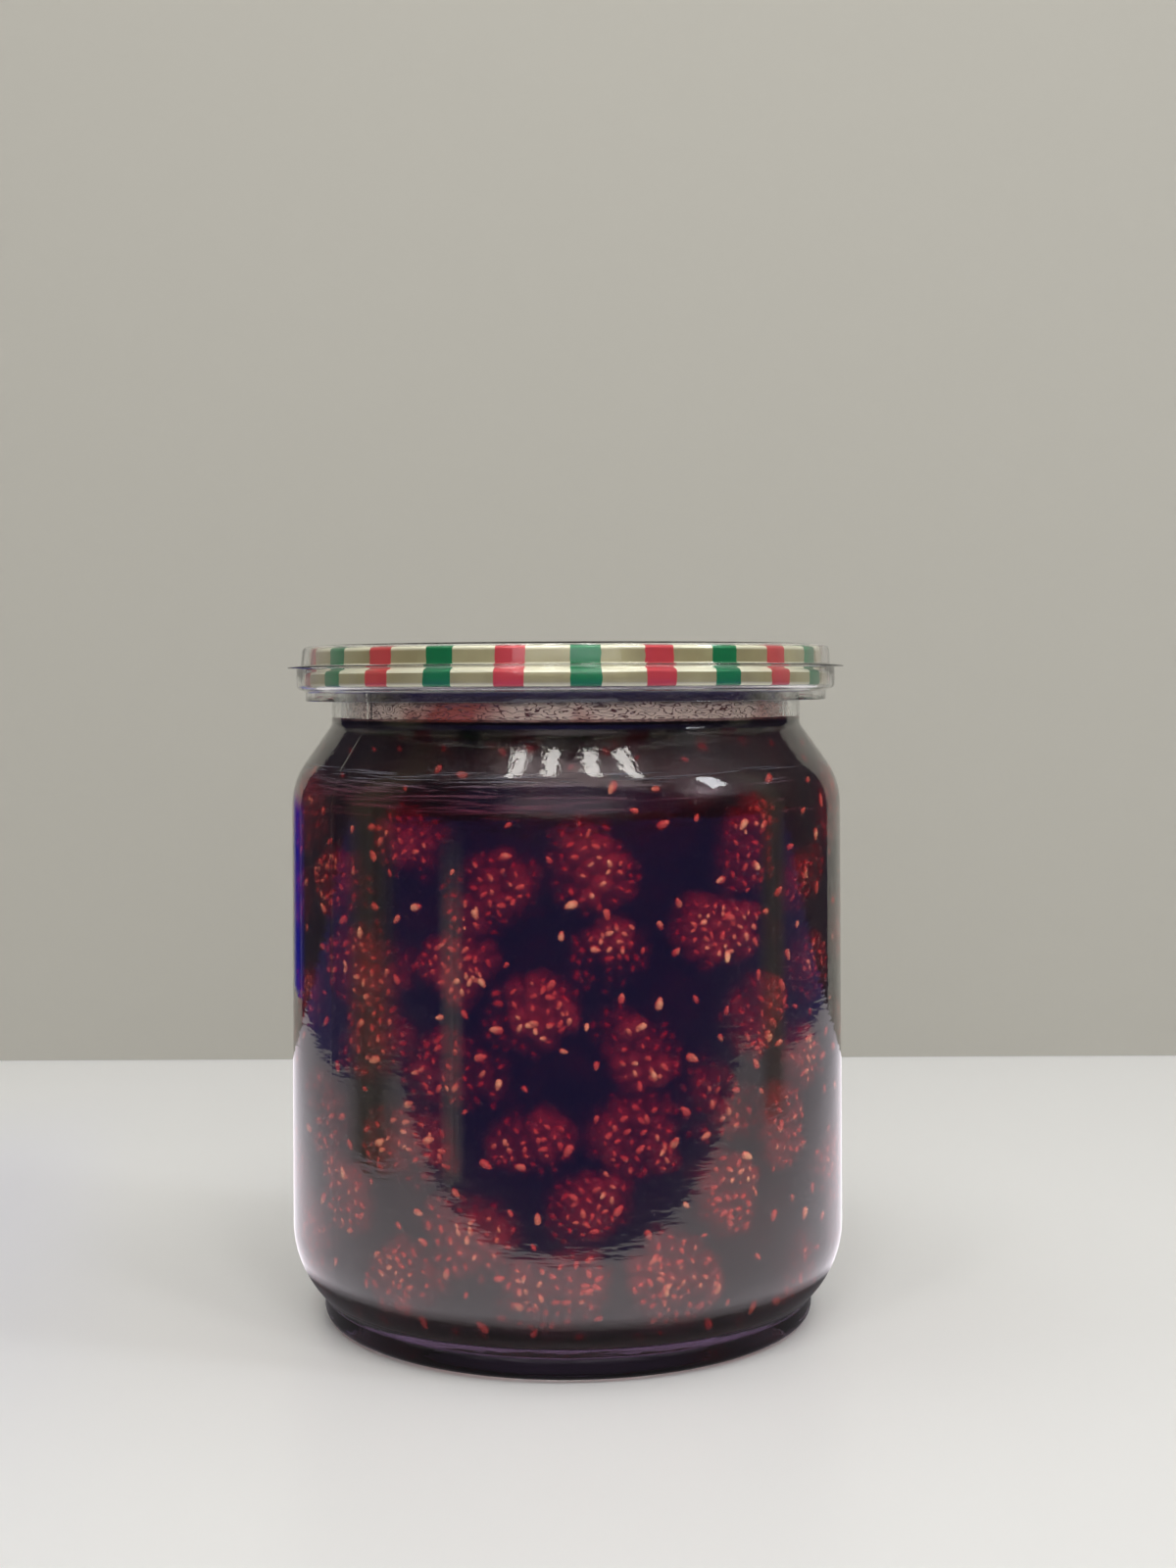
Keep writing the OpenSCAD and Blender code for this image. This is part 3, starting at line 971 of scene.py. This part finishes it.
def seen_in_glass(tree):
    """Two masks: where a clear or shiny surface shows this one, and where it mirrors it
    rather than letting it through. Both are zero where this one lights the jam."""
    path = shader(tree, "ShaderNodeLightPath")
    unlit = shader(tree, "ShaderNodeMath", {0: path.outputs["Diffuse Depth"], 1: 0.5}, operation="LESS_THAN")
    seen = shader(tree, "ShaderNodeMath", {
        0: path.outputs["Is Glossy Ray"], 1: unlit.outputs[0]}, operation="MULTIPLY")
    straight = shader(tree, "ShaderNodeMath", {
        0: seen.outputs[0], 1: path.outputs["Is Transmission Ray"]}, operation="SUBTRACT", use_clamp=True)
    return seen.outputs[0], straight.outputs[0]


def table_surface(tree):
    """White laminate. What the glass mirrors of it is a painted reflection: it glows brightest in the middle,
    is darkened under the foot by a painted shadow, and ends at the table's edges."""
    matt = shader(tree, "ShaderNodeBsdfPrincipled", {
        "Base Color": (0.88, 0.88, 0.88, 1), "Roughness": 0.35, "Specular IOR Level": 0.3})
    where = shader(tree, "ShaderNodeTexCoord").outputs["Object"]
    xyz = shader(tree, "ShaderNodeSeparateXYZ", {"Vector": where})
    behind_edge = shader(tree, "ShaderNodeMath", {
        0: xyz.outputs["Y"], 1: TABLE_FRONT}, operation="GREATER_THAN")
    middle, half_width = sum(TABLE_SIDES) / 2, (TABLE_SIDES[1] - TABLE_SIDES[0]) / 2
    between = shader(tree, "ShaderNodeMath", {
        0: xyz.outputs["X"], 1: middle, 2: half_width}, operation="COMPARE")
    on_table = shader(tree, "ShaderNodeMath", {
        0: behind_edge.outputs[0], 1: between.outputs[0]}, operation="MULTIPLY")
    aside = shader(tree, "ShaderNodeMath", {0: xyz.outputs["X"]}, operation="ABSOLUTE")
    reach = shader(tree, "ShaderNodeVectorMath", {0: where}, operation="LENGTH")
    # The glow that the glass mirrors is painted: brighter towards the middle, and a painted shadow dims it
    # near the foot.
    strength = shader(tree, "ShaderNodeMath", {
        0: ramp(tree, aside.outputs[0], 0.02, 0.20, 1.85, 0.86),
        1: ramp(tree, reach.outputs["Value"], 0.047, 0.053, 0.08, 1.0)}, operation="MULTIPLY")
    mirrored = shader(tree, "ShaderNodeEmission", {
        "Color": (0.94, 0.88, 0.94, 1), "Strength": strength.outputs[0]})
    seen, mirror = seen_in_glass(tree)
    top = shader(tree, "ShaderNodeMixShader", {
        "Fac": mirror, 1: matt.outputs[0], 2: mirrored.outputs[0]})
    dark = shader(tree, "ShaderNodeEmission", {"Color": ROOM_COLOUR})
    in_glass = shader(tree, "ShaderNodeMixShader", {
        "Fac": on_table.outputs[0], 1: dark.outputs[0], 2: top.outputs[0]})
    return shader(tree, "ShaderNodeMixShader", {
        "Fac": seen, 1: matt.outputs[0], 2: in_glass.outputs[0]}).outputs[0]


def wall_surface(tree):
    """Pale warm paint, seen from its front only. Glass mirrors only its middle part."""
    paint = shader(tree, "ShaderNodeBsdfDiffuse", {"Color": (0.50, 0.485, 0.44, 1)})
    x = shader(tree, "ShaderNodeSeparateXYZ", {
        "Vector": shader(tree, "ShaderNodeTexCoord").outputs["Object"]}).outputs["X"]
    middle, half_width = sum(MIRRORED_WALL) / 2, (MIRRORED_WALL[1] - MIRRORED_WALL[0]) / 2
    past = shader(tree, "ShaderNodeMath", {0: x, 1: middle, 2: half_width}, operation="COMPARE")
    mirror = seen_in_glass(tree)[1]
    hidden = shader(tree, "ShaderNodeMath", {0: mirror, 1: past.outputs[0]},
                    operation="SUBTRACT", use_clamp=True)
    dark = shader(tree, "ShaderNodeEmission", {"Color": BACK_ROOM})
    shown = shader(tree, "ShaderNodeMixShader", {
        "Fac": hidden.outputs[0], 1: paint.outputs[0], 2: dark.outputs[0]})
    clear = shader(tree, "ShaderNodeBsdfTransparent")
    back = shader(tree, "ShaderNodeNewGeometry").outputs["Backfacing"]
    return shader(tree, "ShaderNodeMixShader", {
        "Fac": back, 1: shown.outputs[0], 2: clear.outputs[0]}).outputs[0]


table_top = finish_of("table_top", table_surface)
wall_paint = finish_of("wall_paint", wall_surface)
flat_card("table", [(-2, -2, UNDER_FOOT), (2, -2, UNDER_FOOT), (2, 2, UNDER_FOOT), (-2, 2, UNDER_FOOT)],
          table_top)
flat_card("wall", [(-2, WALL_Y, 0), (2, WALL_Y, 0), (2, WALL_Y, 1.6), (-2, WALL_Y, 1.6)], wall_paint)


def mirrored_thing(name, angle, distance, width, low, high, colour):
    """An upright thing beside the jar, which only the glass mirrors, with soft edges.
    Angle is in degrees round the jar from the front, positive to the right."""
    a = radians(angle)
    middle = Vector((sin(a), -cos(a), 0)) * distance
    side = Vector((cos(a), sin(a), 0)) * width / 2

    def glow(tree):
        place = shader(tree, "ShaderNodeTexCoord").outputs["Object"]
        along = shader(tree, "ShaderNodeVectorMath", {
            0: place, 1: tuple(side.normalized())}, operation="DOT_PRODUCT").outputs["Value"]
        across = ramp(tree, along, -width / 2, width / 2, 0.0, 1.0)
        up = shader(tree, "ShaderNodeSeparateXYZ", {"Vector": place}).outputs["Z"]
        streaks = shader(tree, "ShaderNodeTexNoise", {
            "W": across, "Scale": 9.0, "Detail": 3.0}, noise_dimensions="1D")
        shade = ramp(tree, streaks.outputs["Fac"], 0.3, 0.7, 0.55, 1.25)
        lit = shader(tree, "ShaderNodeEmission", {"Color": colour, "Strength": shade})
        clear = shader(tree, "ShaderNodeBsdfTransparent")
        fades = [ramp(tree, across, 0.0, 0.35, 0.0, 1.0),
                 ramp(tree, across, 0.65, 1.0, 1.0, 0.0),
                 ramp(tree, up, high - 0.3 * (high - low), high, 1.0, 0.0)]
        solid = fades[0]
        for fade in fades[1:]:
            solid = shader(tree, "ShaderNodeMath", {0: solid, 1: fade}, operation="MULTIPLY").outputs[0]
        return shader(tree, "ShaderNodeMixShader", {
            "Fac": solid, 1: clear.outputs[0], 2: lit.outputs[0]}).outputs[0]

    corners = [middle - side, middle + side, middle + side, middle - side]
    card = flat_card(name, [(c.x, c.y, z) for c, z in zip(corners, (low, low, high, high))],
                     finish_of(name, glow))
    card.visible_camera = card.visible_diffuse = card.visible_shadow = False
    card.visible_transmission = False


mirrored_thing("left_post", -75.5, 0.166, 0.085, 0, 0.30, (0.30, 0.28, 0.19, 1))
mirrored_thing("right_post", 83.6, 0.212, 0.066, 0, 0.30, (0.30, 0.28, 0.22, 1))
mirrored_thing("window_edge", -40.3, 0.162, 0.030, 0.0, 0.075, (0.75, 0.70, 0.72, 1))
mirrored_thing("front_room", 0, 1.2, 3.2, 0.2, 1.6, ROOM_COLOUR)
mirrored_thing("blue_panel", -139, 0.235, 0.100, 0.02, 0.090, (0.02, 0.02, 0.45, 1))


def lamp(name, place, size, power, aim=(0, 0, 0.06), colour=(1, 1, 1), mirrored=True):
    light = bpy.data.lights.new(name, "AREA")
    light.shape = "RECTANGLE"
    light.size, light.size_y = size
    light.energy = power
    light.color = colour
    holder = bpy.data.objects.new(name, light)
    holder.location = place
    holder.rotation_euler = (Vector(aim) - Vector(place)).to_track_quat("-Z", "Y").to_euler()
    holder.visible_camera = False
    holder.visible_glossy = mirrored
    scene.collection.objects.link(holder)
    return holder


for i, x in enumerate((-0.185, -0.055, 0.091, 0.25)):
    lamp(f"row_lamp_{i}", (x, -0.30, 0.75), (0.055, 0.24), 0.45, colour=(1, 0.98, 0.93))
lamp("side_lamp", (0.68, -0.25, 0.62), (0.12, 0.2), 0.9, colour=(0.93, 0.96, 1))
lamp("top_left", (-0.35, 0.0, 0.9), (0.4, 0.4), 0.75, mirrored=False)
lamp("top_right", (0.45, 0.0, 0.85), (0.4, 0.4), 0.75, mirrored=False)
lamp("front_fill", (0.0, -0.9, 0.5), (0.8, 0.6), 2.0, mirrored=False)


world = bpy.data.worlds.new("room")
world.use_nodes = True
room = world.node_tree
room.nodes.clear()
seen = shader(room, "ShaderNodeBackground", {"Color": (1.0, 0.99, 0.96, 1), "Strength": 0.42})
dim = shader(room, "ShaderNodeBackground", {"Color": BACK_ROOM})
both = shader(room, "ShaderNodeMixShader", {
    "Fac": seen_in_glass(room)[0], 1: seen.outputs[0], 2: dim.outputs[0]})
shader(room, "ShaderNodeOutputWorld", {"Surface": both.outputs[0]})
scene.world = world
